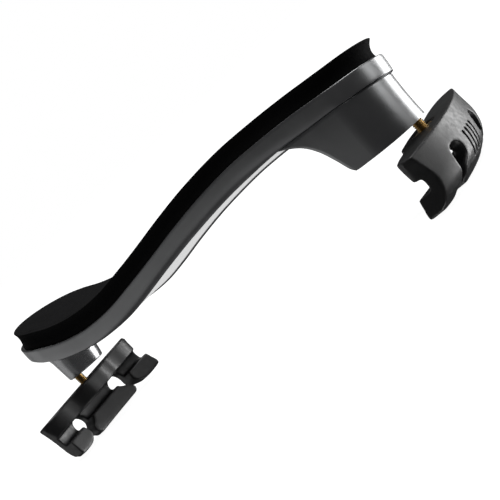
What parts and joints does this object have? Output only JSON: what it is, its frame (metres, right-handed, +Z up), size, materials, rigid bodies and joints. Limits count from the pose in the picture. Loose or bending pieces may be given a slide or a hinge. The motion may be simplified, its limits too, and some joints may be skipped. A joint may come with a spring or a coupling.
{
  "type": "violin shoulder rest",
  "caption": "Curved metal rail with a black foam shoulder pad, held off a violin's back by forked rubber feet on threaded brass stems that screw in and out to set the height.",
  "frame": {"origin": "on the standing plane, under the middle of the overall box", "axes": "+X runs along the rail from the wide shoulder end to the narrow riser end, +Z is up towards the pad, -Y is the viewer's side"},
  "size_m": [0.2226, 0.0618, 0.0584],
  "materials": {
    "rail_metal": "satin silver-grey metal, bright at the riser end",
    "plate_metal": "light satin silver, blank",
    "riser_metal": "satin graphite-grey metal with a bright outer end",
    "boss_metal": "satin silver",
    "pad_foam": "matte black closed-cell foam with a fine grain",
    "foot_rubber": "semi-matte black moulded rubber",
    "core_plastic": "plain moulded nylon",
    "stem_brass": "plain machined brass",
    "insert_brass": "plain turned brass",
    "screw_steel": "plain zinc-plated steel",
    "adhesive": "double-sided mounting tape"
  },
  "bodies": {
    "rest": {"frame_rail": "rail_metal", "underside_plate": "plate_metal", "plate_adhesive": "adhesive", "pad_adhesive": "adhesive", "shoulder_pad": "pad_foam", "riser": "riser_metal", "riser_screws": "screw_steel", "riser_insert": "insert_brass", "riser_insert_spare": "insert_brass", "end_boss": "boss_metal", "boss_screws": "screw_steel", "boss_insert": "insert_brass", "boss_insert_spare": "insert_brass"},
    "left_stem": {"left_stem": "stem_brass"},
    "left_foot": {"left_stem_nut": "insert_brass", "left_foot_core": "core_plastic", "left_foot_cover": "foot_rubber"},
    "right_stem": {"right_stem": "stem_brass"},
    "right_foot": {"right_stem_nut": "insert_brass", "right_foot_core": "core_plastic", "right_foot_cover": "foot_rubber"}
  },
  "joints": [
    {"name": "left_foot_height", "type": "slide", "parent": "rest", "child": "left_stem", "axis": [0.1045, 0, -0.9945], "range_m": [-0.00071, 0.00911]},
    {"name": "left_foot_turn", "type": "hinge", "parent": "left_stem", "child": "left_foot", "pos_m": [-0.10007, -0.00136, 0.02056], "axis": [0.1045, 0, -0.9945], "range_deg": [-360, 4680]},
    {"name": "right_foot_height", "type": "slide", "parent": "rest", "child": "right_stem", "axis": [0.0523, 0, -0.9986], "range_m": [-0.00071, 0.00911]},
    {"name": "right_foot_turn", "type": "hinge", "parent": "right_stem", "child": "right_foot", "pos_m": [0.09943, 0.00064, 0.02056], "axis": [0.0523, 0, -0.9986], "range_deg": [-360, 4680]}
  ],
  "couplings": [
    {"joint": "left_foot_height", "follows": "left_foot_turn", "m_per_rad": 0.00011141},
    {"joint": "right_foot_height", "follows": "right_foot_turn", "m_per_rad": 0.00011141}
  ]
}
